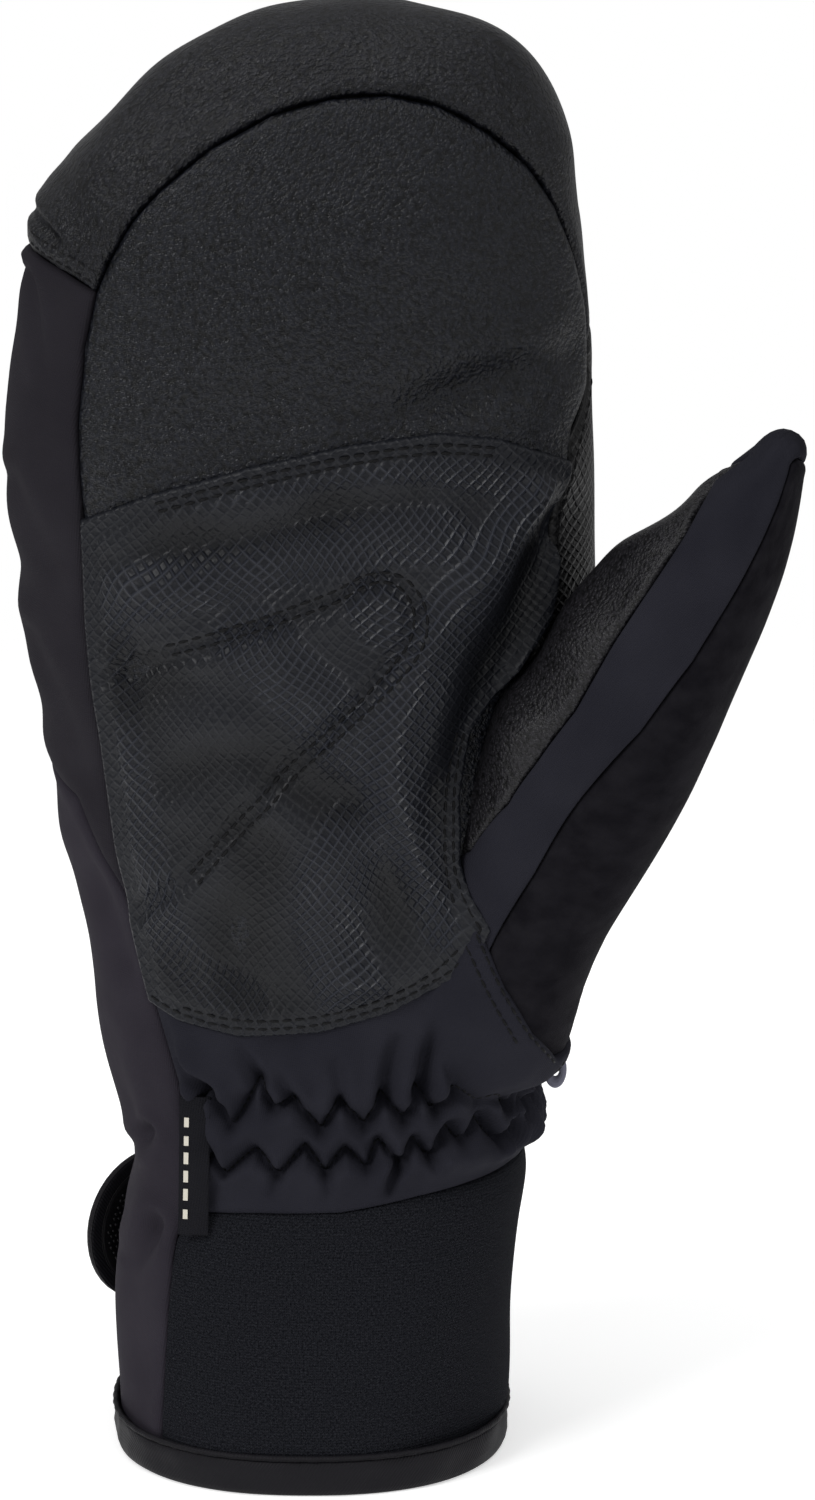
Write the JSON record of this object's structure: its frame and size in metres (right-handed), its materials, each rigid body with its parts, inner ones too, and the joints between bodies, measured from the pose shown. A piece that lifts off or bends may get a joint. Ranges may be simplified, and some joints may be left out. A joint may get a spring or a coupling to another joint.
{
  "type": "ski mitten",
  "caption": "Right-hand insulated ski mitten with a dome-seamed leather palm, grip patch, gathered wrist, knit under-sleeve cuff and a hook-and-loop strap tab.",
  "frame": {"origin": "centre of the wrist opening, in the plane of the hem the mitten stands on", "axes": "+Z from the hem to the fingertips, -Y out of the palm, +X to the thumb side"},
  "size_m": [0.15, 0.0848, 0.286],
  "materials": {
    "leather": "pebbled, semi-matt",
    "grip_leather": "embossed, semi-gloss",
    "softshell": "matt weave",
    "softshell_light": "matt weave",
    "neoprene_knit": "fine knit",
    "suede": "napped, matt",
    "binding": "satin",
    "elastic": "matt",
    "webbing": "ribbed",
    "loop": "napped",
    "hook": "matt hooks",
    "label": "woven satin",
    "insulation": "fibre wadding",
    "membrane": "film laminate",
    "fleece": "brushed fleece"
  },
  "bodies": {
    "hand": {"palm_base_panel": "leather", "back_hand_panel": "softshell", "index_side_panel": "grip_leather", "pinky_palm_gusset": "softshell", "heel_panel": "softshell", "cuff_panel": "neoprene_knit", "side_panel": "softshell_light", "cuff_lining": "fleece", "hem_binding": "binding", "wrist_elastic": "elastic", "palm_patch": "grip_leather", "strap_anchor": "webbing", "loop_patch": "loop", "hand_insulation": "insulation", "hand_membrane": "membrane", "hand_lining": "fleece"},
    "fingers": {"finger_palm_panel": "leather", "fingertip_wrap": "leather", "finger_back_panel": "softshell", "pinky_gusset": "softshell", "index_gusset": "grip_leather", "finger_insulation": "insulation", "finger_membrane": "membrane", "finger_lining": "fleece"},
    "thumb": {"thumb_gusset": "softshell", "thumb_palm_panel": "leather", "thumb_back_panel": "suede", "thumb_insulation": "insulation", "thumb_membrane": "membrane", "thumb_lining": "fleece"},
    "tab": {"strap_tab": "webbing", "hook_patch": "hook"},
    "label": {"seam_label": "label"}
  },
  "joints": [
    {"name": "finger_fold", "type": "hinge", "parent": "hand", "child": "fingers", "pos_m": [0, -0.043, 0.2085], "axis": [0.9945, 0, 0.1044], "range_deg": [0, 50], "stiffness_Nm_per_rad": 0.15},
    {"name": "thumb_swing", "type": "hinge", "parent": "hand", "child": "thumb", "pos_m": [0.0215, -0.041, 0.11], "axis": [-0.2248, 0.015, -0.9743], "range_deg": [0, 30], "stiffness_Nm_per_rad": 0.08},
    {"name": "strap_peel", "type": "hinge", "parent": "hand", "child": "tab", "pos_m": [-0.004, 0.03782, 0.0345], "axis": [0, 0, -1], "range_deg": [0, 120]},
    {"name": "label_flip", "type": "hinge", "parent": "hand", "child": "label", "pos_m": [-0.0252, -0.02768, 0.0648], "axis": [0, 0, -1], "range_deg": [0, 120]}
  ]
}
